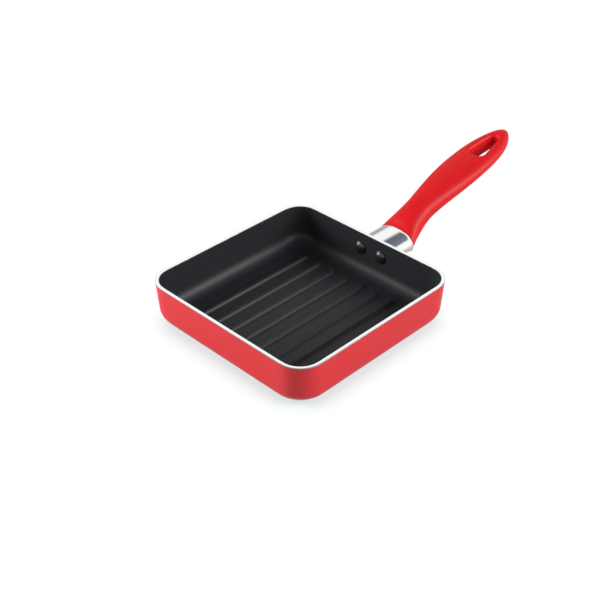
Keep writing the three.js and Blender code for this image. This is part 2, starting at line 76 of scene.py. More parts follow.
RIB_COUNT = 8
RIB_PITCH = 13 * MM
RIB_HEIGHT = 1.8 * MM
RIB_MARGIN = 5 * MM
RIB_WIDTH = 4.6 * MM
RIB_FLANK = 1.9 * MM
RIB_SOFTNESS = 0.4 * MM
FLANK_LINES = 13
FLANK_SPREAD = 3
LINE_SPACING = 4 * MM
LINE_DIGITS = 7
CORE_MARGIN = 0.6 * MM
STRAIGHT_HALF = 40 * MM
QUARTER_TURN = np.array([[0, 1], [-1, 0]])

FLOOR_LEVEL = LAND_STEP + FLOOR
LEAN_SLOPE = WALL_LEAN / (PAN_HEIGHT - LAND_STEP)
LEAN = np.arctan(LEAN_SLOPE)


def inset_at(z, depth):
    """How far inside the rim the leaning wall lies at a height: slope times drop, plus a depth into it."""
    return LEAN_SLOPE * (PAN_HEIGHT - z) + depth / np.cos(LEAN)


def bend_centre(level, bend, depth):
    """How far inside the rim a bent foot's centre lies: one bend up, and one bend in from the wall."""
    return inset_at(level + bend, depth) + bend / np.cos(LEAN)


land_radius = RIM_HALF - bend_centre(LAND_STEP, BASE_BEND, 0) - LAND_MARGIN
rib_half_length = RIM_HALF - bend_centre(FLOOR_LEVEL, FLOOR_BEND, WALL) - RIB_MARGIN - RIB_WIDTH / 2
rib_places = RIB_PITCH * (np.arange(RIB_COUNT) - (RIB_COUNT - 1) / 2)
flank_lines = RIB_FLANK + RIB_SOFTNESS * np.linspace(-FLANK_SPREAD, FLANK_SPREAD, FLANK_LINES)
across_rib = np.concatenate([-flank_lines, [0], flank_lines])
core_y = rib_places[-1] + flank_lines[-1] + CORE_MARGIN
core_x = rib_half_length + flank_lines[-1] + CORE_MARGIN


def symmetric_lines(lines, edge):
    """Grid lines both sides of the middle, in rising order, ending at the edge. Rounding merges doubles."""
    inside = lines[abs(lines) < edge - CORE_MARGIN / 2]
    both = np.concatenate([-inside, inside, [-edge, edge]])
    return np.unique(np.round(both, LINE_DIGITS))


gap_lines = rib_places[:-1] + RIB_PITCH / 2
y_lines = symmetric_lines(np.append(np.add.outer(rib_places, across_rib), gap_lines), core_y)
end_lines = rib_half_length + np.append(0, flank_lines)
x_lines = symmetric_lines(np.append(np.arange(0, rib_half_length, LINE_SPACING), end_lines), core_x)


def around_square(x_lines, y_lines):
    """Once round a rounded square, anticlockwise from the corner at +X -Y, one row for each grid line.

    The first two columns place the corner's centre: lines within the straight stretch give a share of it.
    The last two give the direction from that centre: lines beyond it turn through half of the corner.
    """
    rows = []
    for quarter, lines in enumerate([y_lines, x_lines, y_lines, x_lines]):
        share = np.clip(lines / STRAIGHT_HALF, -1, 1)
        beyond = np.clip((abs(lines) - STRAIGHT_HALF) / (lines[-1] - STRAIGHT_HALF), 0, 1)
        turn = np.sign(lines) * beyond * np.pi / 4
        spin = np.linalg.matrix_power(QUARTER_TURN, quarter)
        centre = np.stack([np.ones_like(lines), share], axis=1) @ spin
        direction = np.stack([np.cos(turn), np.sin(turn)], axis=1) @ spin
        rows.append(np.concatenate([centre, direction], axis=1)[:-1])
    return np.concatenate(rows)


def lifted(flat, z):
    """Rings of flat points, each ring lifted to its own height."""
    level = np.multiply.outer(z, np.ones(flat.shape[1]))
    return np.concatenate([flat, level[:, :, None]], axis=2)


def square_rings(around, inset, z, depth):
    """Rounded squares, one for each inset from the rim and height, at one depth into the wall.

    A point is its corner centre plus the corner's radius in its direction. The corner opens out by
    CORNER_SPREAD of the inset, so it grows rounder towards the foot.
    """
    inset, z, depth = np.broadcast_arrays(np.atleast_1d(inset), z, depth)
    radius = CORNER_RADIUS - depth + CORNER_SPREAD * (inset - depth)
    middle = RIM_HALF - inset - radius
    flat = np.multiply.outer(middle, around[:, :2]) + np.multiply.outer(radius, around[:, 2:])
    return lifted(flat, z)


def wall_rings(around, depth, level, bend, top):
    """The wall at one depth from its foot up: a round bend off the level, then a straight leaning face.

    The face ends in a narrow row, which keeps the soft shading of a coat's top edge off the wall below it.
    """
    turn = np.linspace(1.5 * np.pi, np.pi + LEAN, BEND_STEPS + 1)
    centre = bend_centre(level, bend, depth)
    bend_z = level + bend + bend * np.sin(turn)
    face_z = np.append(np.linspace(bend_z[-1], top - EDGE_ROW, WALL_STEPS + 1)[1:], top)
    inset = np.append(centre + bend * np.cos(turn), inset_at(face_z, depth))
    return square_rings(around, inset, np.append(bend_z, face_z), depth)


def ribbed_floor(depth):
    """The floor as a grid over X and Y, at a depth below the lining's face.

    Each rib is a smooth step in the distance from its middle line, which ends short of the wall, so its
    ends are round. A deeper layer has the same step, moved inwards by its depth.
    """
    x, y = np.meshgrid(x_lines, y_lines)
    beside = abs(y[:, :, None] - rib_places).min(axis=2)
    beyond = np.clip(abs(x) - rib_half_length, 0, None)
    distance = np.hypot(beside, beyond) + depth
    rise = RIB_HEIGHT / 2 * (1 - np.tanh((distance - RIB_FLANK) / RIB_SOFTNESS))
    return np.stack([x, y, FLOOR_LEVEL - depth + rise], axis=2)


def outward(ring):
    """Level directions from the pan's middle to each point of a ring."""
    flat = ring[:, :2]
    return flat / np.linalg.norm(flat, axis=1, keepdims=True)


def land_rings(spokes):
    """The turned land as circles from near its middle to its edge, with a round groove at each pitch."""
    middles = np.arange(GROOVE_PITCH, land_radius - GROOVE_WIDTH, GROOVE_PITCH)
    steps = np.linspace(-GROOVE_WIDTH / 2, GROOVE_WIDTH / 2, GROOVE_STEPS + 1)
    depth = GROOVE_DEPTH * np.cos(np.pi * np.tile(steps, len(middles)) / GROOVE_WIDTH)
    grooves = np.stack([np.add.outer(middles, steps).ravel(), depth], axis=1)
    edge = [[land_radius - LAND_BEVEL, 0], [land_radius, LAND_BEVEL], [land_radius, LAND_STEP + SKIN]]
    radius, z = np.concatenate([grooves, edge]).T
    return lifted(np.multiply.outer(radius, spokes), z)


def numbered(rings, first=0):
    """Vertex numbers for rings or rows of points, counted on from the first."""
    return first + np.arange(rings[..., 0].size).reshape(rings.shape[:2])


def quads(index, closed):
    """Quads between neighbours in a grid of vertex numbers. Closed joins the last column to the first."""
    if closed:
        index = np.concatenate([index, index[:, :1]], axis=1)
    corners = [index[:-1, :-1], index[:-1, 1:], index[1:, 1:], index[1:, :-1]]
    return np.stack(corners, axis=2).reshape(-1, 4)


def fan(pole, ring):
    """Triangles from a pole to a ring, which runs clockwise seen from the side that they face."""
    return np.stack([np.full_like(ring, pole), np.roll(ring, -1), ring], axis=1)


def border(index):
    """The outer vertex numbers of a grid, in the order that around_square goes."""
    return np.concatenate([index[:-1, -1], index[-1, :0:-1], index[:0:-1, 0], index[0, :-1]])


def walled_floor(rings, floor, first):
    """Faces of rings that end at a floor: between the rings, along the floor's border and over it."""
    ring_index = numbered(rings, first)
    floor_index = numbered(floor, 1 + ring_index[-1, -1])
    seam = np.stack([ring_index[-1], border(floor_index)])
    return [quads(ring_index, closed=True), quads(seam, closed=True), quads(floor_index, closed=False)]


def new_piece(name, points, faces, sharp_degrees):
    """An object at the origin with its place in its mesh, smooth but for edges sharper than the angle."""
    mesh = bpy.data.meshes.new(name)
    mesh.from_pydata(points.reshape(-1, 3).tolist(), [], [face for part in faces for face in part.tolist()])
    mesh.polygons.foreach_set("use_smooth", np.ones(len(mesh.polygons), bool))
    mesh.set_sharp_from_angle(angle=np.radians(sharp_degrees))
    mesh.validate()
    piece = bpy.data.objects.new(name, mesh)
    bpy.context.scene.collection.objects.link(piece)
    return piece


around_floor = around_square(x_lines, y_lines)
bare_outside = wall_rings(around_floor, SKIN, LAND_STEP + SKIN, BASE_BEND - SKIN, COAT_TOP)
bare_inside = wall_rings(around_floor, WALL - SKIN, FLOOR_LEVEL - SKIN, FLOOR_BEND + SKIN, COAT_TOP)
bevel_turn = np.linspace(0, np.pi / 2, BEVEL_STEPS + 1)
bevel_z = PAN_HEIGHT - RIM_BEVEL * (1 - np.sin(bevel_turn))
bevel_in = RIM_BEVEL * (1 - np.cos(bevel_turn))
rim_outside = square_rings(around_floor, inset_at(bevel_z, 0) + bevel_in, bevel_z, 0)
rim_inside = square_rings(around_floor, inset_at(bevel_z, WALL) - bevel_in, bevel_z, WALL)
body_rings = np.concatenate([
    land_rings(outward(bare_outside[0])),
    bare_outside,
    square_rings(around_floor, inset_at(COAT_TOP, 0), COAT_TOP, 0),
    rim_outside,
    rim_inside[::-1],
    square_rings(around_floor, inset_at(COAT_TOP, WALL), COAT_TOP, WALL),
    bare_inside[::-1],
])
body_floor = ribbed_floor(SKIN)
land_fan = fan(0, numbered(body_rings, first=1)[0])
pan_piece = new_piece(
    "pressed_pan",
    np.concatenate([[[0, 0, 0]], body_rings.reshape(-1, 3), body_floor.reshape(-1, 3)]),
    [land_fan, *walled_floor(body_rings, body_floor, first=1)],
    sharp_degrees=35,
)


def linear(hex_colour):
    """An sRGB hex colour as linear red, green and blue with full alpha."""
    srgb = np.array([int(hex_colour[place:place + 2], 16) for place in (1, 3, 5)]) / 255
    low, high = srgb / 12.92, ((srgb + 0.055) / 1.055) ** 2.4
    return (*np.where(srgb <= 0.04045, low, high).tolist(), 1)


def add_node(tree, kind, inputs=None, **settings):
    """A node with its settings. Each input is a value, or another node's output to link from."""
    node = tree.nodes.new(kind)
    for setting, value in settings.items():
        setattr(node, setting, value)
    for socket, value in (inputs or {}).items():
        if isinstance(value, bpy.types.NodeSocket):
            tree.links.new(value, node.inputs[socket])
        else:
            node.inputs[socket].default_value = value
    return node


def new_material(name):
    """An empty node material, its tree, and the places on its piece that its patterns read."""
    material = bpy.data.materials.new(name)
    material.use_nodes = True
    tree = material.node_tree
    tree.nodes.clear()
    return material, tree, add_node(tree, "ShaderNodeTexCoord").outputs["Object"]


# Turned aluminium: bright bare metal with a soft grain, and with the lathe's rings on the land, drawn
# coarser than real ones so that they show. The rim's flat is bright, and its bevels are dull and grey,
# because bright bevels are too narrow for a render and break up into glints.
TURNING_PITCH = 0.9 * MM
TURNING_HEIGHT = 0.02 * MM
METAL_GRAIN = 0.5 * MM
GROUND_ROUGHNESS = (0.1, 0.18)
BRIGHT_DEPTH = 0.005 * MM
DULL_DEPTH = 0.04 * MM
DULL_ROUGHNESS = 0.3
WAVES_PER_UNIT = 20 / (2 * np.pi)
turned_aluminium, tree, place = new_material("turned_aluminium")
height = add_node(tree, "ShaderNodeSeparateXYZ", {0: place}).outputs["Z"]
on_land = add_node(tree, "ShaderNodeMapRange", {"Value": height, "From Min": LAND_STEP, "From Max": 0})
lathe = add_node(
    tree,
    "ShaderNodeTexWave",
    {"Vector": place, "Scale": 1 / (TURNING_PITCH * WAVES_PER_UNIT)},
    wave_type="RINGS",
    rings_direction="Z",
)
rings = add_node(
    tree, "ShaderNodeMath", {0: lathe.outputs["Fac"], 1: on_land.outputs[0]}, operation="MULTIPLY"
)
grain = add_node(tree, "ShaderNodeTexNoise", {"Vector": place, "Scale": 1 / METAL_GRAIN, "Detail": 4})
off_flat = add_node(tree, "ShaderNodeMapRange", {
    "Value": height,
    "From Min": PAN_HEIGHT - BRIGHT_DEPTH,
    "From Max": PAN_HEIGHT - DULL_DEPTH,
})
dull = add_node(
    tree,
    "ShaderNodeMath",
    {0: off_flat.outputs[0], 1: on_land.outputs[0]},
    operation="SUBTRACT",
    use_clamp=True,
)
colour = add_node(
    tree,
    "ShaderNodeMix",
    {"Factor": dull.outputs[0], "A": linear("#FAFAF9"), "B": linear("#8C8D90")},
    data_type="RGBA",
)
ground = add_node(tree, "ShaderNodeMapRange", {
    "Value": grain.outputs[0],
    "To Min": GROUND_ROUGHNESS[0],
    "To Max": GROUND_ROUGHNESS[1],
})
gloss = add_node(
    tree,
    "ShaderNodeMath",
    {0: dull.outputs[0], 1: DULL_ROUGHNESS, 2: ground.outputs[0]},
    operation="MULTIPLY_ADD",
)
bump = add_node(tree, "ShaderNodeBump", {"Height": rings.outputs[0], "Distance": TURNING_HEIGHT})
shader = add_node(tree, "ShaderNodeBsdfPrincipled", {
    "Base Color": colour.outputs["Result"],
    "Metallic": 1,
    "Roughness": gloss.outputs[0],
    "Normal": bump.outputs[0],
})
add_node(tree, "ShaderNodeOutputMaterial", {"Surface": shader.outputs[0]})
pan_piece.data.materials.append(turned_aluminium)
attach(pan_piece, "root")
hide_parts("pan_body")

# Lining: black non-stick sprayed on the floor, ribs and inner wall and baked, up to the bare rim.
# Here it is a thin skin over the pan's own inside shape, a little below the top edge.

lining_wall = wall_rings(around_floor, WALL, FLOOR_LEVEL, FLOOR_BEND, COAT_TOP - BOND_GAP)[::-1]
lining_floor = ribbed_floor(0)
lining_piece = new_piece(
    "sprayed_lining",
    np.concatenate([lining_wall.reshape(-1, 3), lining_floor.reshape(-1, 3)]),
    walled_floor(lining_wall, lining_floor, first=0),
    sharp_degrees=60,
)


def thicken_coat(piece):
    """Gives a coat its thickness, from the face that shows towards the metal."""
    layer = piece.modifiers.new("coat", "SOLIDIFY")
    layer.thickness = COAT
    layer.offset = -1


def finish(tree, look, pattern, roughness, relief=0):
    """Ends a material in a shader whose pattern, from 0 to 1, sets its roughness and lifts its surface.

    Roughness holds the values for 0 and 1, relief is the pattern's height, and look is the rest.
    """
    gloss = add_node(tree, "ShaderNodeMapRange", {
        "Value": pattern.outputs[0],
        "To Min": roughness[0],
        "To Max": roughness[1],
    })
    shader = add_node(tree, "ShaderNodeBsdfPrincipled", {**look, "Roughness": gloss.outputs[0]})
    if relief:
        bump = add_node(tree, "ShaderNodeBump", {"Height": pattern.outputs[0], "Distance": relief})
        tree.links.new(bump.outputs[0], shader.inputs["Normal"])
    add_node(tree, "ShaderNodeOutputMaterial", {"Surface": shader.outputs[0]})


thicken_coat(lining_piece)

# Non-stick coating: near black, satin, with the fine pebble of a sprayed and baked layer and faint flecks
SPRAY_PEBBLE = 0.7 * MM
SPRAY_HEIGHT = 0.03 * MM
FLECK_SIZE = 0.9 * MM
FLECK_EDGE = 0.16
FLECK_CORE = 0.05
black_nonstick, tree, place = new_material("black_nonstick")
pebble = add_node(tree, "ShaderNodeTexNoise", {"Vector": place, "Scale": 1 / SPRAY_PEBBLE, "Detail": 3})
cells = add_node(tree, "ShaderNodeTexVoronoi", {"Vector": place, "Scale": 1 / FLECK_SIZE})
fleck = add_node(tree, "ShaderNodeMapRange", {
    "Value": cells.outputs["Distance"],
    "From Min": FLECK_EDGE,
    "From Max": FLECK_CORE,
})
colour = add_node(
    tree,
    "ShaderNodeMix",
    {"Factor": fleck.outputs[0], "A": linear("#222326"), "B": linear("#393B3F")},
    data_type="RGBA",
)
look = {"Base Color": colour.outputs["Result"], "Specular IOR Level": 0.3}
finish(tree, look, pebble, roughness=(0.4, 0.55), relief=SPRAY_HEIGHT)
lining_piece.data.materials.append(black_nonstick)
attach(lining_piece, "root")
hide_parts("nonstick_lining")

# Outer enamel: red heat-proof lacquer sprayed over the outside, from the bare rim down round the foot
# and in under the base as far as the turned land.

SIDE_LINES = 41
plain_lines = np.linspace(-core_x, core_x, SIDE_LINES)
around_outside = around_square(plain_lines, plain_lines)
enamel_wall = wall_rings(around_outside, 0, LAND_STEP, BASE_BEND, COAT_TOP - BOND_GAP)
inner_radius = land_radius + BOND_GAP + np.array([0, EDGE_ROW])
inner_edge = np.multiply.outer(inner_radius, outward(enamel_wall[0]))
inner_level = np.full(len(inner_radius), LAND_STEP)
enamel_rings = np.concatenate([lifted(inner_edge, inner_level), enamel_wall])
enamel_piece = new_piece(
    "sprayed_enamel", enamel_rings, [quads(numbered(enamel_rings), closed=True)], sharp_degrees=60
)
thicken_coat(enamel_piece)

# Red lacquer: satin and even, with the slight orange peel of a sprayed film
PEEL_SIZE = 1.6 * MM
PEEL_HEIGHT = 0.012 * MM
red_lacquer, tree, place = new_material("red_lacquer")
peel = add_node(tree, "ShaderNodeTexNoise", {"Vector": place, "Scale": 1 / PEEL_SIZE, "Detail": 2})
look = {"Base Color": linear("#D22A30"), "Specular IOR Level": 0.36}
finish(tree, look, peel, roughness=(0.34, 0.42), relief=PEEL_HEIGHT)
enamel_piece.data.materials.append(red_lacquer)
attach(enamel_piece, "root")
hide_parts("outer_enamel")

# Bracket: a cast aluminium lug on an oval flange, held to the wall by the two rivets.
# The ferrule hides it, and the handle's screw grips in it, so it keeps its plain solid.

# Cast aluminium: dull grey metal with the grain that the mould left
CAST_GRAIN = 0.8 * MM
CAST_HEIGHT = 0.06 * MM
cast_aluminium, tree, place = new_material("cast_aluminium")
sand = add_node(tree, "ShaderNodeTexNoise", {"Vector": place, "Scale": 1 / CAST_GRAIN, "Detail": 5})
look = {"Base Color": linear("#B9BBBD"), "Metallic": 1}
finish(tree, look, sand, roughness=(0.4, 0.65), relief=CAST_HEIGHT)
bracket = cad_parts["handle_bracket"]
bracket.data.materials.clear()
bracket.data.materials.append(cast_aluminium)

# Rivets: two aluminium rivets through wall and bracket, enamelled black, with domed heads inside the pan
# and short pressed tails inside the ferrule.

RIVET_HEAD = 9.4 * MM
RIVET_HEAD_HEIGHT = 2.4 * MM
RIVET_HEAD_EDGE = 0.4 * MM
RIVET_SHANK = 5 * MM
RIVET_TAIL = 7.2 * MM
RIVET_TAIL_HEIGHT = 1.6 * MM
FLANGE = 2.2 * MM
FIT_GAP = 0.2 * MM
DOME_STEPS = 14
TURN_STEPS = 64
LEVEL_WAY = np.array([0, 1, 0])
wall_out = np.array([np.cos(LEAN), 0, -np.sin(LEAN)])


def rings_round(profile, origin, axis):
    """Circles round an axis, one for each profile point, which is a radius and a place along the axis.

    The axis is a unit vector square to Y. A spoke is a cosine square to both, plus a sine along Y.
    """
    turn = np.linspace(0, 2 * np.pi, TURN_STEPS, endpoint=False)
    upright = np.cross(LEVEL_WAY, axis)
    spokes = np.multiply.outer(np.cos(turn), upright) + np.multiply.outer(np.sin(turn), LEVEL_WAY)
    radius, along = np.transpose(profile)
    centres = origin + np.multiply.outer(along, axis)
    return centres[:, None, :] + np.multiply.outer(radius, spokes)


def turned(name, profile, origin, axis, sharp_degrees):
    """A turned solid: a profile carried once round an axis.

    The profile starts and ends on the axis, and runs the way that the axis points.
    """
    rings = rings_round(profile, origin, axis)
    index = numbered(rings[1:-1], first=1)
    points = np.concatenate([rings[0, :1], rings[1:-1].reshape(-1, 3), rings[-1, :1]])
    start_fan = fan(0, index[0])
    end_fan = fan(len(points) - 1, index[-1])[:, ::-1]
    return new_piece(name, points, [start_fan, quads(index, closed=True), end_fan], sharp_degrees)


dome = RIVET_HEAD_HEIGHT - RIVET_HEAD_EDGE
ball = ((RIVET_HEAD / 2) ** 2 + dome ** 2) / (2 * dome)
dome_turn = np.linspace(0, np.arcsin(RIVET_HEAD / 2 / ball), DOME_STEPS)
rivet_seat = WALL + FIT_GAP
tail_seat = FLANGE + 2 * FIT_GAP
dome_profile = np.stack([
    ball * np.sin(dome_turn),
    ball * (1 - np.cos(dome_turn)) - rivet_seat - RIVET_HEAD_HEIGHT,
], axis=1)
rivet_profile = [
    *dome_profile.tolist(),
    [RIVET_HEAD / 2, -rivet_seat],
    [RIVET_SHANK / 2, -rivet_seat],
    [RIVET_SHANK / 2, tail_seat],
    [RIVET_TAIL / 2, tail_seat],
    [RIVET_TAIL / 2, tail_seat + RIVET_TAIL_HEIGHT / 2],
    [RIVET_SHANK / 2, tail_seat + RIVET_TAIL_HEIGHT],
    [0, tail_seat + RIVET_TAIL_HEIGHT],
]

# Black baked enamel: glossier than the lining, with the faint peel of a thin coat over a pressed head
HEAD_PEEL = 1.2 * MM
HEAD_PEEL_HEIGHT = 0.006 * MM
black_enamel, tree, place = new_material("black_enamel")
peel = add_node(tree, "ShaderNodeTexNoise", {"Vector": place, "Scale": 1 / HEAD_PEEL, "Detail": 2})
look = {"Base Color": linear("#18191B"), "Specular IOR Level": 0.8}
finish(tree, look, peel, roughness=(0.26, 0.34), relief=HEAD_PEEL_HEIGHT)

for side in ("left", "right"):
    rivet_low, rivet_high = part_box("rivet_" + side)
    middle = (rivet_low + rivet_high) / 2
    rivet_z = middle.z + (middle.x - RIM_HALF + inset_at(middle.z, 0)) * np.sin(LEAN)
    at_wall = np.array([RIM_HALF - inset_at(rivet_z, 0), middle.y, rivet_z])
    rivet_piece = turned("domed_rivet_" + side, rivet_profile, at_wall, wall_out, sharp_degrees=40)
    rivet_piece.data.materials.append(black_enamel)
    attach(rivet_piece, "root")
    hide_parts("rivet_" + side)

# Ferrule: an oval sleeve drawn from stainless sheet and polished, which keeps the flame off the handle.
# It is clamped between the pan's wall and the handle's root by the long screw.

ferrule_low, ferrule_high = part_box("ferrule")
AXIS_HEIGHT = (ferrule_low.z + ferrule_high.z) / 2
FERRULE_HALF_WIDTH = ferrule_high.y
FERRULE_HALF_HEIGHT = (ferrule_high.z - ferrule_low.z) / 2
FERRULE_END = ferrule_high.x
FERRULE_WALL = 0.9 * MM
LIP_RADIUS = 0.45 * MM
LIP_STEPS = 6
FERRULE_ROWS = 10
OVAL_STEPS = 128
oval_turn = np.linspace(0, 2 * np.pi, OVAL_STEPS, endpoint=False)


def oval_rings(x, thinner):
    """Upright ellipses across the handle's axis, one for each X, thinned by an equal amount all round."""
    x, thinner = np.broadcast_arrays(np.atleast_1d(x), thinner)
    y = np.multiply.outer(FERRULE_HALF_WIDTH - thinner, np.cos(oval_turn))
    z = AXIS_HEIGHT + np.multiply.outer(FERRULE_HALF_HEIGHT - thinner, np.sin(oval_turn))
    return np.stack([np.broadcast_to(x[:, None], y.shape), y, z], axis=2)


def cut_to_wall(rings):
    """The same rings with their X moved to the leaning wall, a fit's gap away from it."""
    wall_x = RIM_HALF - inset_at(rings[..., 2], 0) + FIT_GAP / np.cos(LEAN)
    return np.concatenate([wall_x[..., None], rings[..., 1:]], axis=2)


def sleeve_piece(name, rings, sharp_degrees):
    """A piece with a hole through it: rings joined to their neighbours, and the last to the first."""
    index = numbered(rings)
    faces = quads(np.concatenate([index, index[:1]]), closed=True)
    return new_piece(name, rings, [faces], sharp_degrees)


lip_turn = np.linspace(0, np.pi, LIP_STEPS + 1)
lip_thinner = FERRULE_WALL / 2 - FERRULE_WALL / 2 * np.cos(lip_turn)
lip = oval_rings(FERRULE_END - LIP_RADIUS + LIP_RADIUS * np.sin(lip_turn), lip_thinner)
outer_start = cut_to_wall(oval_rings(0, 0))
inner_start = cut_to_wall(oval_rings(0, FERRULE_WALL))
towards_lip = np.linspace(0, 1, FERRULE_ROWS)[:-1, None, None]
ferrule_rings = np.concatenate([
    outer_start + towards_lip * (lip[:1] - outer_start),
    lip,
    (inner_start + towards_lip * (lip[-1:] - inner_start))[::-1],
])
ferrule_piece = sleeve_piece("drawn_ferrule", ferrule_rings, sharp_degrees=50)

# Polished stainless steel: mirror bright, with faint streaks along it from the polishing belt
STREAK_WIDTH = 0.35 * MM
STREAK_LENGTH = 30 * MM
STREAK_HEIGHT = 0.001 * MM
polished_steel, tree, place = new_material("polished_steel")
stretched = add_node(tree, "ShaderNodeMapping", {
    "Vector": place,
    "Scale": (1 / STREAK_LENGTH, 1 / STREAK_WIDTH, 1 / STREAK_WIDTH),
})
streak = add_node(tree, "ShaderNodeTexNoise", {"Vector": stretched.outputs[0], "Scale": 1, "Detail": 3})
look = {"Base Color": linear("#F6F6F5"), "Metallic": 1}
finish(tree, look, streak, roughness=(0.08, 0.13), relief=STREAK_HEIGHT)
ferrule_piece.data.materials.append(polished_steel)
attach(ferrule_piece, "root")
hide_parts("ferrule")

# Handle: one red phenolic moulding with a spigot inside the ferrule, a waisted neck, a full palm and a
# hanging slot near its blunt tip. One long screw from the slot's front wall holds it to the bracket.

HANDLE_REACH = 120.5 * MM
HANDLE_RISE = 37.2 * MM
ROOT_ANGLE = np.radians(36.7)
ROOT_PULL = 30.5 * MM
TIP_ANGLE = np.radians(11.1)
TIP_PULL = 70 * MM
ROOT_STEP = 0.3 * MM
ROOT_TURN = 14 * MM
SPIGOT_LENGTH = 6.4 * MM
NECK_AT = 23.5 * MM
NECK_WIDTH = 20.5 * MM
NECK_THICKNESS = 15.2 * MM
PALM_AT = 70.3 * MM
PALM_WIDTH = 29.4 * MM
PALM_THICKNESS = 13 * MM
TIP_THICKNESS = 10.4 * MM
TIP_ROUNDING = 8 * MM
SECTION_POWER = 2.4
SWELL_POWER = 0.74
FULLNESS_POWER = 2.6
BLUNTNESS_POWER = 0.67
HANDLE_ROWS = 150
TIP_CROWDING = 1.5

root = np.array([FERRULE_END + FIT_GAP, AXIS_HEIGHT])
tip = root + [HANDLE_REACH, HANDLE_RISE]
pull_points = np.stack([
    root,
    root + ROOT_PULL * np.array([np.cos(ROOT_ANGLE), np.sin(ROOT_ANGLE)]),
    tip - TIP_PULL * np.array([np.cos(TIP_ANGLE), np.sin(TIP_ANGLE)]),
    tip,
])


def ease(share):
    """A smooth step from 0 to 1: three times the square less twice the cube."""
    share = np.clip(share, 0, 1)
    return share * share * (3 - 2 * share)


def handle_line(share):
    """X and Z on the handle's cubic curve, its distance along X, and the upright of its section there.

    The section stands upright at the root and turns square to the curve over the root's turn.
    """
    share = np.asarray(share)[..., None]
    left = 1 - share
    weights = [left ** 3, 3 * left ** 2 * share, 3 * left * share ** 2, share ** 3]
    slopes = [left ** 2, 2 * left * share, share ** 2]
    centre = sum(weight * point for weight, point in zip(weights, pull_points))
    tangent = sum(slope * step for slope, step in zip(slopes, np.diff(pull_points, axis=0)))
    along = centre[..., 0] - root[0]
    tilt = np.arctan2(tangent[..., 1], tangent[..., 0]) * ease(along / ROOT_TURN)
    upright = np.stack([-np.sin(tilt), np.cos(tilt)], axis=-1)
    return centre, along, upright


def handle_half_width(along):
    """A square-law flare from root to neck, an eased swell to the palm and a power-law close at the tip."""
    neck, palm = NECK_WIDTH / 2, PALM_WIDTH / 2
    flare = (FERRULE_HALF_WIDTH - ROOT_STEP - neck) * np.clip(1 - along / NECK_AT, 0, 1) ** 2
    swell = ease(np.clip((along - NECK_AT) / (PALM_AT - NECK_AT), 0, 1) ** SWELL_POWER)
    towards_tip = np.clip((along - PALM_AT) / (HANDLE_REACH - PALM_AT), 0, 1)
    close = (1 - towards_tip ** FULLNESS_POWER) ** BLUNTNESS_POWER
    return np.where(along < PALM_AT, neck + flare + (palm - neck) * swell, palm * close)


def handle_half_thickness(along):
    """Straight tapers between root, neck, palm and tip, with the last stretch rounded as an ellipse."""
    root_thickness = 2 * (FERRULE_HALF_HEIGHT - ROOT_STEP)
    stations = [0, NECK_AT, PALM_AT, HANDLE_REACH]
    taper = np.interp(along, stations, [root_thickness, NECK_THICKNESS, PALM_THICKNESS, TIP_THICKNESS])
    end = np.clip((along - HANDLE_REACH + TIP_ROUNDING) / TIP_ROUNDING, 0, 1)
    return taper / 2 * np.sqrt(1 - end ** 2)


def lift(share, y, side):
    """The handle's skin over or under a curve point, at a sideways place: a superellipse of the section.

    Side is 1 above the curve and -1 below it. The skin's height off the curve comes back too.
    """
    centre, along, upright = handle_line(share)
    inside = np.clip(1 - (abs(y) / handle_half_width(along)) ** SECTION_POWER, 0, 1)
    height = side * handle_half_thickness(along) * inside ** (1 / SECTION_POWER)
    raised = centre + height[..., None] * upright
    return np.stack([raised[..., 0], y, raised[..., 1]], axis=-1), height


def signed_power(value, power):
    """A power that keeps the sign."""
    return np.sign(value) * abs(value) ** power


row_share = 1 - (1 - np.arange(HANDLE_ROWS) / HANDLE_ROWS) ** TIP_CROWDING
row_centre, row_along, row_upright = handle_line(row_share)
section_y = signed_power(np.cos(oval_turn), 2 / SECTION_POWER)
section_up = signed_power(np.sin(oval_turn), 2 / SECTION_POWER)
grip_y = np.multiply.outer(handle_half_width(row_along), section_y)
grip_up = np.multiply.outer(handle_half_thickness(row_along), section_up)
grip_xz = row_centre[:, None, :] + grip_up[:, :, None] * row_upright[:, None, :]
grip_rings = np.stack([grip_xz[..., 0], grip_y, grip_xz[..., 1]], axis=2)
spigot_x = np.array([root[0] - SPIGOT_LENGTH, root[0]])
handle_rings = np.concatenate([oval_rings(spigot_x, FERRULE_WALL + FIT_GAP), grip_rings])

# Hanging slot: a long hole, blunt towards the pan and narrow at the tip. Its walls lean in downwards, so
# that the moulding leaves its core, and its upper edge is rounded well over.
SLOT_LENGTH = 27 * MM
SLOT_FRONT_HALF = 6.3 * MM
SLOT_CORNER_RADIUS = 4.5 * MM
SLOT_TIP_RADIUS = 3.6 * MM
SLOT_TO_TIP = 11.8 * MM
SLOT_DRAFT = 1.7 * MM
SLOT_EDGE = 3 * MM
SLOT_LOWER_EDGE = 0.9 * MM
SLOT_ARC_STEPS = 40
SLOT_PLACES = 2400
SLOT_WALL_RINGS = 6
EDGE_RINGS = 8
PATCH_RINGS = 8
PATCH_AHEAD = 6 * MM
PATCH_BEHIND = 4 * MM
HALF_ROUND = OVAL_STEPS // 2
EIGHTH_ROUND = OVAL_STEPS // 8
CURVE_PLACES = 4001
SKIN_ROUNDS = 4

fine_share = np.linspace(0, 1, CURVE_PLACES)
fine_centre, fine_along, _ = handle_line(fine_share)
slot_share = np.interp(HANDLE_REACH - SLOT_TO_TIP - SLOT_LENGTH / 2, fine_along, fine_share)
slot_centre, slot_along, slot_up = handle_line(slot_share)
slot_forward = np.array([slot_up[1], -slot_up[0]])
fine_forward = (fine_centre - slot_centre) @ slot_forward


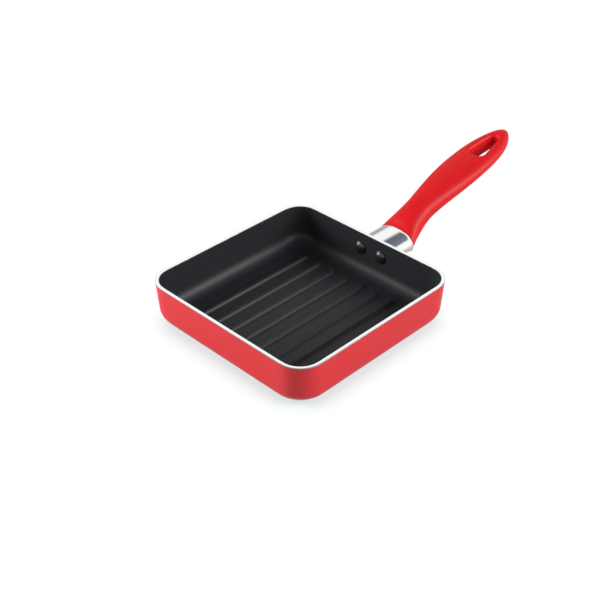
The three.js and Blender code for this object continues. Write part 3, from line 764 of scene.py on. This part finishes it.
def skin_at(forward, y, side):
    """The handle's skin at a place in the slot's own plane, on the upper or lower side.

    The curve point under it is looked up by its forward distance, less what the section's tilt adds.
    """
    share = np.interp(forward, fine_forward, fine_share)
    for _ in range(SKIN_ROUNDS):
        height = lift(share, y, side)[1]
        tilt_shift = height * (handle_line(share)[2] @ slot_forward)
        share = np.interp(forward - tilt_shift, fine_forward, fine_share)
    return lift(share, y, side)[0]


def slot_outline():
    """The slot's outline below its upper edge, as evenly spaced places forward and sideways.

    The tip and the two front corners are arcs, each between the ways that its neighbouring sides face. The
    sides are straight, so places are looked up by their distance along a line through all the arcs.
    """
    corner = np.array([SLOT_CORNER_RADIUS - SLOT_LENGTH / 2, SLOT_FRONT_HALF - SLOT_CORNER_RADIUS])
    end = np.array([SLOT_LENGTH / 2 - SLOT_TIP_RADIUS, 0])
    run = end - corner
    lean = np.arccos((SLOT_CORNER_RADIUS - SLOT_TIP_RADIUS) / np.linalg.norm(run))
    side_way = np.arctan2(run[1], run[0]) + lean
    end_turn = np.linspace(0, side_way, SLOT_ARC_STEPS)
    corner_turn = np.linspace(side_way, np.pi, SLOT_ARC_STEPS)
    half = np.concatenate([
        end + SLOT_TIP_RADIUS * np.stack([np.cos(end_turn), np.sin(end_turn)], axis=1),
        corner + SLOT_CORNER_RADIUS * np.stack([np.cos(corner_turn), np.sin(corner_turn)], axis=1),
    ])
    line = np.concatenate([half, half[::-1] * [1, -1]])
    distance = np.append(0, np.cumsum(np.linalg.norm(np.diff(line, axis=0), axis=1)))
    spread = np.linspace(0, distance[-1], SLOT_PLACES, endpoint=False)
    return np.stack([np.interp(spread, distance, line[:, axis]) for axis in (0, 1)], axis=1)


def nearest_on_slot(forward, y):
    """The outline's place nearest to each point outside it, and the way out from there."""
    places = slot_outline()
    gaps = np.stack([forward, y], axis=1)[:, None] - places
    distance = np.linalg.norm(gaps, axis=2)
    nearest = distance.argmin(axis=1)
    rows = np.arange(len(nearest))
    return places[nearest], gaps[rows, nearest] / distance[rows, nearest, None]


def in_slot_plane(points):
    """Forward and sideways places of points in the slot's own plane."""
    return (points[:, [0, 2]] - slot_centre) @ slot_forward, points[:, 1]


patch_start = slot_along - SLOT_LENGTH / 2 - PATCH_AHEAD
patch_end = slot_along + SLOT_LENGTH / 2 + PATCH_BEHIND
patch_rows = len(spigot_x) + np.flatnonzero((row_along > patch_start) & (row_along < patch_end))
top_columns = np.arange(EIGHTH_ROUND, HALF_ROUND - EIGHTH_ROUND + 1)
handle_index = numbered(handle_rings)
top_border = border(handle_index[np.ix_(patch_rows, top_columns)])
low_border = border(handle_index[np.ix_(patch_rows, OVAL_STEPS - top_columns)])
skin_points = handle_rings.reshape(-1, 3)
slot_places, way_out = nearest_on_slot(*in_slot_plane(skin_points[top_border]))


def slot_side(border_points, side, outline, edge):
    """Rings from a patch's border to the slot's wall on one side of the handle.

    Evenly shared rings lie on the skin up to the edge's rim, and then a quarter round turns into the wall.
    """
    rim = outline + edge * way_out
    reach = np.stack(in_slot_plane(border_points), axis=1) - rim
    shares = np.linspace(1, 0, PATCH_RINGS + 1)[1:]
    rings = [skin_at(*(rim + share * reach).T, side) for share in shares]
    sink_way = -side * np.array([slot_up[0], 0, slot_up[1]])
    for turn in np.linspace(0, np.pi / 2, EDGE_RINGS + 1)[1:]:
        place = outline + edge * (1 - np.sin(turn)) * way_out
        rings.append(skin_at(*place.T, side) + edge * (1 - np.cos(turn)) * sink_way)
    return np.stack(rings)


upper = slot_side(skin_points[top_border], 1, slot_places, SLOT_EDGE)
lower = slot_side(skin_points[low_border], -1, slot_places - SLOT_DRAFT * way_out, SLOT_LOWER_EDGE)[::-1]
down_wall = np.linspace(0, 1, SLOT_WALL_RINGS + 2)[1:-1, None, None]
slot_rings = np.concatenate([upper, upper[-1] + down_wall * (lower[0] - upper[-1]), lower])
slot_index = np.concatenate([
    top_border[None],
    numbered(slot_rings, first=len(skin_points)),
    low_border[None],
])
spigot_end = [spigot_x[0], 0, AXIS_HEIGHT]
tip_end = [tip[0], 0, tip[1]]
handle_points = np.concatenate([skin_points, slot_rings.reshape(-1, 3), [spigot_end, tip_end]])
spigot_fan = fan(len(handle_points) - 2, handle_index[0])
tip_fan = fan(len(handle_points) - 1, handle_index[-1])[:, ::-1]
skin_quads = quads(handle_index, closed=True).reshape(len(handle_rings) - 1, OVAL_STEPS, 4)
kept = np.ones(skin_quads.shape[:2], bool)
kept[np.ix_(patch_rows[:-1], top_columns[:-1])] = False
kept[np.ix_(patch_rows[:-1], OVAL_STEPS - top_columns[1:])] = False
handle_piece = new_piece(
    "moulded_handle",
    np.clip(handle_points, *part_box("handle")),
    [spigot_fan, skin_quads[kept], tip_fan, quads(slot_index, closed=True)],
    sharp_degrees=40,
)

# Screw way: a bore from the spigot's end to a round recess in the slot's front wall, which takes the head
SCREW_DIAMETER = 4 * MM
SCREW_GRIP = 10 * MM
SCREW_HEAD_HEIGHT = 2.6 * MM
WASHER_DIAMETER = 7.4 * MM
WASHER_THICKNESS = 1 * MM
HOLE_CLEARANCE = 0.25 * MM
LUG_LIFT = 1 * MM
lug_end = np.array([spigot_x[0] - FIT_GAP, 0, AXIS_HEIGHT + LUG_LIFT])
front_x, front_z = slot_centre + (SLOT_DRAFT - SLOT_LENGTH) / 2 * slot_forward
slot_front = np.array([front_x, 0, front_z])
screw_axis = (slot_front - lug_end) / np.linalg.norm(slot_front - lug_end)
head_sink = SCREW_HEAD_HEIGHT + WASHER_THICKNESS + 2 * FIT_GAP
screw_seat = slot_front - head_sink * screw_axis
screw_bottom = -np.linalg.norm(screw_seat - lug_end) - SCREW_GRIP
bore_radius = SCREW_DIAMETER / 2 + HOLE_CLEARANCE
recess_radius = WASHER_DIAMETER / 2 + 2 * HOLE_CLEARANCE
recess_end = head_sink + SLOT_FRONT_HALF


def cut_away(piece, cutter, sharp_degrees):
    """Takes the cutter's shape out of a piece and removes the cutter."""
    cut = piece.modifiers.new("cut", "BOOLEAN")
    cut.operation = "DIFFERENCE"
    cut.object = cutter
    shaped = bpy.data.meshes.new_from_object(piece.evaluated_get(bpy.context.evaluated_depsgraph_get()))
    shaped.set_sharp_from_angle(angle=np.radians(sharp_degrees))
    piece.modifiers.clear()
    piece.data = shaped
    bpy.data.objects.remove(cutter)


way_profile = [
    [0, screw_bottom],
    [bore_radius, screw_bottom],
    [bore_radius, 0],
    [recess_radius, 0],
    [recess_radius, recess_end],
    [0, recess_end],
]
way_cutter = turned("screw_way", way_profile, screw_seat, screw_axis, sharp_degrees=40)
cut_away(handle_piece, way_cutter, sharp_degrees=40)

# Red phenolic: satin as it leaves the mould, with a very fine even texture
MOULD_GRAIN = 0.6 * MM
MOULD_HEIGHT = 0.005 * MM
red_phenolic, tree, place = new_material("red_phenolic")
grain = add_node(tree, "ShaderNodeTexNoise", {"Vector": place, "Scale": 1 / MOULD_GRAIN, "Detail": 2})
look = {"Base Color": linear("#D01014"), "Specular IOR Level": 0.29}
finish(tree, look, grain, roughness=(0.46, 0.54), relief=MOULD_HEIGHT)
handle_piece.data.materials.append(red_phenolic)
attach(handle_piece, "root")
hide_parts("handle")

# Screw and washer: zinc plated steel, turned and pressed, sunk in the slot's front wall.
# The screw runs down the handle into the bracket's lug and clamps handle and ferrule to the pan.

SCREW_HEAD = 7 * MM
SCREW_POINT = 0.7 * MM
HEAD_EDGE = 1.3 * MM
HEAD_CROWN = 1.4 * MM
DRIVER_SLOT = 1 * MM
WASHER_BEVEL = 0.15 * MM
head_seat = WASHER_THICKNESS + 2 * FIT_GAP
head_top = head_seat + SCREW_HEAD_HEIGHT
crown_turn = np.linspace(0, np.pi / 2, DOME_STEPS)
crown_profile = np.stack([
    SCREW_HEAD / 2 - HEAD_CROWN + HEAD_CROWN * np.cos(crown_turn),
    head_seat + HEAD_EDGE + (SCREW_HEAD_HEIGHT - HEAD_EDGE) * np.sin(crown_turn),
], axis=1)
screw_profile = [
    [0, screw_bottom],
    [SCREW_DIAMETER / 2 - SCREW_POINT, screw_bottom],
    [SCREW_DIAMETER / 2, screw_bottom + SCREW_POINT],
    [SCREW_DIAMETER / 2, head_seat],
    [SCREW_HEAD / 2, head_seat],
    *crown_profile.tolist(),
    [0, head_top],
]
screw_piece = turned("turned_screw", screw_profile, screw_seat, screw_axis, sharp_degrees=40)
driver_across = np.cross(screw_axis, LEVEL_WAY)
corner_signs = np.array([[-1, -1], [1, -1], [1, 1], [-1, 1]])
driver_corners = corner_signs @ np.stack([SCREW_HEAD * LEVEL_WAY, DRIVER_SLOT / 2 * driver_across])
driver_depths = np.array([head_seat + HEAD_EDGE, head_top + HEAD_EDGE])
driver_block = screw_seat + driver_corners + np.multiply.outer(driver_depths, screw_axis)[:, None, :]
block_index = numbered(driver_block)
block_faces = [quads(block_index, closed=True)[:, ::-1], block_index[:1], block_index[1:, ::-1]]
driver_cutter = new_piece("driver_slot", driver_block, block_faces, sharp_degrees=40)
cut_away(screw_piece, driver_cutter, sharp_degrees=40)

washer_top = FIT_GAP + WASHER_THICKNESS
washer_rim = WASHER_DIAMETER / 2
washer_profile = [
    [bore_radius, FIT_GAP],
    [washer_rim - WASHER_BEVEL, FIT_GAP],
    [washer_rim, FIT_GAP + WASHER_BEVEL],
    [washer_rim, washer_top - WASHER_BEVEL],
    [washer_rim - WASHER_BEVEL, washer_top],
    [bore_radius, washer_top],
]
washer_rings = rings_round(washer_profile, screw_seat, screw_axis)
washer_piece = sleeve_piece("pressed_washer", washer_rings, sharp_degrees=40)

# Zinc plating: pale bluish metal, slightly cloudy
PLATING_GRAIN = 1.5 * MM
zinc_plate, tree, place = new_material("zinc_plated_steel")
plating = add_node(tree, "ShaderNodeTexNoise", {"Vector": place, "Scale": 1 / PLATING_GRAIN, "Detail": 3})
look = {"Base Color": linear("#C3C7CE"), "Metallic": 1}
finish(tree, look, plating, roughness=(0.25, 0.42))
for piece, node in ((screw_piece, "handle_screw"), (washer_piece, "screw_washer")):
    piece.data.materials.append(zinc_plate)
    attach(piece, "root")
    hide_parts(node)

# Floor: plain white paper. The camera sees it pure white but for a pale shadow close to the pan's foot,
# whose paper colour is painted a pale cyan to cancel the red light that the pan throws on it, and metal sees
# it with all of its shadow. The light that it throws back on the pan is that of grey paper.

PAPER_HALF = 6
PAPER_DROP = 0.02 * MM
FOOT_STRAIGHT = 46 * MM
SHADOW_SHARE = 0.46
SHADOW_NEAR = 20.5 * MM
SHADOW_FAR = 33.5 * MM
SHADOW_POWER = 1.5
WHITE = (1, 1, 1, 1)
paper_points = lifted(PAPER_HALF * corner_signs[None], np.array([-PAPER_DROP]))
floor_sheet = new_piece("studio_floor", paper_points, [numbered(paper_points)], sharp_degrees=60)


def seen_ray(tree):
    """One on rays from the camera, from a glossy surface or through a clear one, and nothing on others."""
    path = add_node(tree, "ShaderNodeLightPath").outputs
    seen_or_mirrored = {0: path["Is Camera Ray"], 1: path["Is Glossy Ray"]}
    either = add_node(tree, "ShaderNodeMath", seen_or_mirrored, operation="MAXIMUM")
    rays = {0: either.outputs[0], 1: path["Is Transmission Ray"]}
    return add_node(tree, "ShaderNodeMath", rays, operation="MAXIMUM").outputs[0]


white_paper, tree, place = new_material("white_paper")
sides = add_node(tree, "ShaderNodeVectorMath", {0: place}, operation="ABSOLUTE").outputs[0]
foot_corner = (FOOT_STRAIGHT, FOOT_STRAIGHT, 0)
past = add_node(tree, "ShaderNodeVectorMath", {0: sides, 1: foot_corner}, operation="SUBTRACT").outputs[0]
outside = add_node(tree, "ShaderNodeVectorMath", {0: past, 1: (0, 0, 0)}, operation="MAXIMUM").outputs[0]
reach = add_node(tree, "ShaderNodeVectorMath", {0: outside}, operation="LENGTH").outputs["Value"]
near = add_node(tree, "ShaderNodeMapRange", {
    "Value": reach,
    "From Min": SHADOW_FAR,
    "From Max": SHADOW_NEAR,
})
faded = add_node(tree, "ShaderNodeMath", {0: near.outputs[0], 1: SHADOW_POWER}, operation="POWER")
shadow = add_node(tree, "ShaderNodeMath", {0: faded.outputs[0], 1: SHADOW_SHARE}, operation="MULTIPLY")
glossy_ray = add_node(tree, "ShaderNodeLightPath").outputs["Is Glossy Ray"]
shaded = add_node(tree, "ShaderNodeMath", {0: shadow.outputs[0], 1: glossy_ray}, operation="MAXIMUM")
glow = add_node(tree, "ShaderNodeEmission", {"Color": WHITE, "Strength": 1})
# The camera's paper is painted pale cyan, to cancel the red light that the pan bounces into its shadow
paper_colour = add_node(
    tree,
    "ShaderNodeMix",
    {"Factor": glossy_ray, "A": linear("#D4F1F2"), "B": linear("#E4E4E6")},
    data_type="RGBA",
)
paper = add_node(tree, "ShaderNodeBsdfDiffuse", {"Color": paper_colour.outputs["Result"]})
grey_paper = add_node(tree, "ShaderNodeBsdfDiffuse", {"Color": linear("#AAAAAA")})
shown = add_node(tree, "ShaderNodeMixShader", {
    0: shaded.outputs[0],
    1: glow.outputs[0],
    2: paper.outputs[0],
})
mix = add_node(tree, "ShaderNodeMixShader", {
    0: seen_ray(tree),
    1: grey_paper.outputs[0],
    2: shown.outputs[0],
})
add_node(tree, "ShaderNodeOutputMaterial", {"Surface": mix.outputs[0]})
floor_sheet.data.materials.append(white_paper)

# Light: a pale room with a dark ceiling, which polished metal shows as a dark band, and a large soft box on
# the left and on the right of the pan. The ceiling slopes and is paler to the right, away from +Y, and the
# room is grey low on the left. A small lamp on the left is what the rivets' heads mirror.

ROOM_LIGHT = 0.25
CEILING_STARTS = np.sin(np.radians(39.5))
CEILING_FULL = np.sin(np.radians(43.5))
CEILING_UP = (0, -0.09, 1)
CEILING_SPREAD = 0.35
LOW_UP = (0, -0.25, 1)
LOW_STARTS = 0.2
LOW_FULL = 0
world = bpy.data.worlds.new("white_room")
bpy.context.scene.world = world
world.use_nodes = True
tree = world.node_tree
tree.nodes.clear()
way = add_node(tree, "ShaderNodeTexCoord").outputs["Generated"]
camera_ray = add_node(tree, "ShaderNodeLightPath").outputs["Is Camera Ray"]


def room_part(up, starts, full):
    """The share of a part of the room, by height along an up direction. The camera sees none of it."""
    height = add_node(tree, "ShaderNodeVectorMath", {0: way, 1: up}, operation="DOT_PRODUCT")
    part = add_node(tree, "ShaderNodeMapRange", {
        "Value": height.outputs["Value"],
        "From Min": starts,
        "From Max": full,
    })
    unseen = {0: part.outputs[0], 1: camera_ray}
    return add_node(tree, "ShaderNodeMath", unseen, operation="SUBTRACT", use_clamp=True).outputs[0]


sideways = add_node(tree, "ShaderNodeSeparateXYZ", {0: way}).outputs["Y"]
paler = add_node(tree, "ShaderNodeMapRange", {
    "Value": sideways,
    "From Min": CEILING_SPREAD,
    "From Max": -CEILING_SPREAD,
})
ceiling_colour = add_node(
    tree,
    "ShaderNodeMix",
    {"Factor": paler.outputs[0], "A": linear("#575B67"), "B": linear("#7C838F")},
    data_type="RGBA",
)
wall_colour = add_node(
    tree,
    "ShaderNodeMix",
    {"Factor": room_part(LOW_UP, LOW_STARTS, LOW_FULL), "A": WHITE, "B": linear("#A6A6AA")},
    data_type="RGBA",
)
room_colour = add_node(
    tree,
    "ShaderNodeMix",
    {
        "Factor": room_part(CEILING_UP, CEILING_STARTS, CEILING_FULL),
        "A": wall_colour.outputs["Result"],
        "B": ceiling_colour.outputs["Result"],
    },
    data_type="RGBA",
)
room = add_node(tree, "ShaderNodeBackground", {"Color": WHITE, "Strength": ROOM_LIGHT})
seen_room = add_node(tree, "ShaderNodeBackground", {"Color": room_colour.outputs["Result"], "Strength": 1})
mix = add_node(tree, "ShaderNodeMixShader", {
    0: seen_ray(tree),
    1: room.outputs[0],
    2: seen_room.outputs[0],
})
add_node(tree, "ShaderNodeOutputWorld", {"Surface": mix.outputs[0]})


def soft_box(name, place, width, height, watts, mirrored):
    """A rectangular lamp that faces the pan. Glossy pieces show it only if it is mirrored."""
    lamp = bpy.data.lights.new(name, "AREA")
    lamp.shape = "RECTANGLE"
    lamp.size = width
    lamp.size_y = height
    lamp.energy = watts
    box = bpy.data.objects.new(name, lamp)
    box.visible_glossy = mirrored
    box.location = place
    box.rotation_euler = (-Vector(place)).to_track_quat("-Z", "Y").to_euler()
    bpy.context.scene.collection.objects.link(box)


soft_box("left_box", place=(-0.8, 0.95, 0.42), width=1.1, height=0.75, watts=17.5, mirrored=False)
soft_box("left_lamp", place=(-0.76, 0.9, 0.4), width=0.32, height=0.32, watts=6.5, mirrored=True)
soft_box("right_box", place=(0.49, -1.1, 0.64), width=0.86, height=0.75, watts=18.8, mirrored=True)

# Camera: the photograph's own view, worked out from the pan's outline. Its place is in metres from the
# middle of the pan's base, and its focal length is a share of the sensor's width.

CAMERA_PLACE = Vector((-0.40744, -0.40851, 0.42271))
CAMERA_AZIMUTH = np.radians(-44.913)
CAMERA_ELEVATION = np.radians(35.232)
CAMERA_ROLL = np.radians(-0.394)
SENSOR_WIDTH = 36
FOCAL_SHARE = 1.82998
CLIP_START = 10 * MM
forward = Vector((
    -np.sin(CAMERA_AZIMUTH) * np.cos(CAMERA_ELEVATION),
    np.cos(CAMERA_AZIMUTH) * np.cos(CAMERA_ELEVATION),
    -np.sin(CAMERA_ELEVATION),
))
level_right = forward.cross(Vector((0, 0, 1))).normalized()
level_up = level_right.cross(forward)
right = level_right * np.cos(CAMERA_ROLL) + level_up * np.sin(CAMERA_ROLL)
up = right.cross(forward)
camera_data = bpy.data.cameras.new("photo_camera")
camera_data.sensor_width = SENSOR_WIDTH
camera_data.lens = SENSOR_WIDTH * FOCAL_SHARE
camera_data.clip_start = CLIP_START
camera = bpy.data.objects.new("photo_camera", camera_data)
camera.matrix_world = Matrix.Translation(CAMERA_PLACE) @ Matrix((right, up, -forward)).transposed().to_4x4()
bpy.context.scene.collection.objects.link(camera)
bpy.context.scene.camera = camera
bpy.context.scene.view_settings.view_transform = "Standard"
